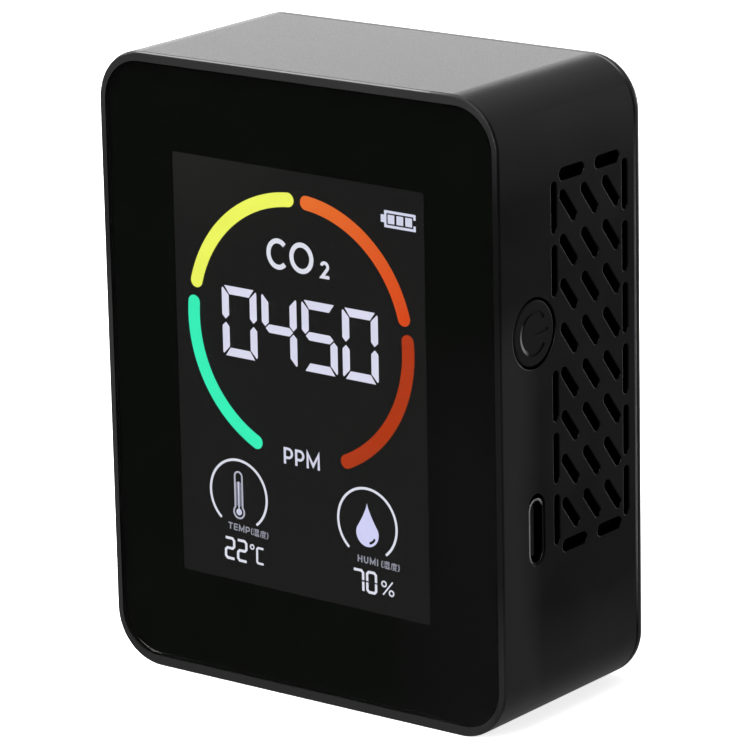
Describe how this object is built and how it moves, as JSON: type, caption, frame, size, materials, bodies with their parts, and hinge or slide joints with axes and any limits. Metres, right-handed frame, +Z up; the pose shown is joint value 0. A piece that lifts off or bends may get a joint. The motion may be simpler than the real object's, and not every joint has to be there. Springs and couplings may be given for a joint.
{
  "type": "carbon dioxide monitor",
  "caption": "Upright box-shaped air monitor with a glossy display panel in front, a round push button, a charging port and a slotted grille on its side.",
  "frame": {"origin": "middle of the underside", "axes": "+X to the object's right seen from the display side, +Y to the back, +Z up; the display faces -Y"},
  "size_m": [0.065, 0.032, 0.085],
  "materials": {
    "case_plastic": "satin",
    "button_plastic": "satin",
    "dark_screw": "satin",
    "lens": "gloss",
    "black_tape": "matte",
    "display_glass": "gloss",
    "steel": "satin",
    "bright_steel": "bright",
    "flex_film": "satin",
    "circuit_board": "satin",
    "connector_plastic": "matte",
    "chip_plastic": "matte",
    "ferrite": "matte",
    "gold_plate": "satin",
    "membrane": "matte",
    "foil": "satin",
    "lead_rubber": "satin",
    "screen_cloth": "matte"
  },
  "bodies": {
    "case": {"front_housing": "case_plastic", "rear_cover": "case_plastic", "cover_screws": "dark_screw", "display_lens": "lens", "lens_adhesive": "black_tape", "lcd_glass": "display_glass", "lcd_backlight": "steel", "lcd_flex": "flex_film", "main_board": "circuit_board", "board_screws": "steel", "flex_connector": "connector_plastic", "processor": "chip_plastic", "charger_chip": "chip_plastic", "power_inductor": "ferrite", "climate_sensor": "steel", "usb_shell": "bright_steel", "usb_tongue": "chip_plastic", "switch_base": "chip_plastic", "switch_cover": "steel", "switch_dome": "steel", "sensor_board": "circuit_board", "sensor_header": "chip_plastic", "sensor_chamber": "gold_plate", "sensor_membrane": "membrane", "infrared_lamp": "steel", "infrared_detector": "steel", "battery_cell": "foil", "battery_pad": "black_tape", "battery_circuit": "circuit_board", "battery_socket": "connector_plastic", "battery_plug": "connector_plastic", "battery_leads": "lead_rubber", "dust_screen_right": "screen_cloth", "dust_screen_left": "screen_cloth"},
    "button": {"power_button": "button_plastic", "switch_plunger": "connector_plastic"}
  },
  "joints": [
    {"name": "button_press", "type": "slide", "parent": "case", "child": "button", "axis": [-1, 0, 0], "range_m": [0, 0.0003], "stiffness_N_per_m": 800, "springref_m": -0.0005}
  ]
}
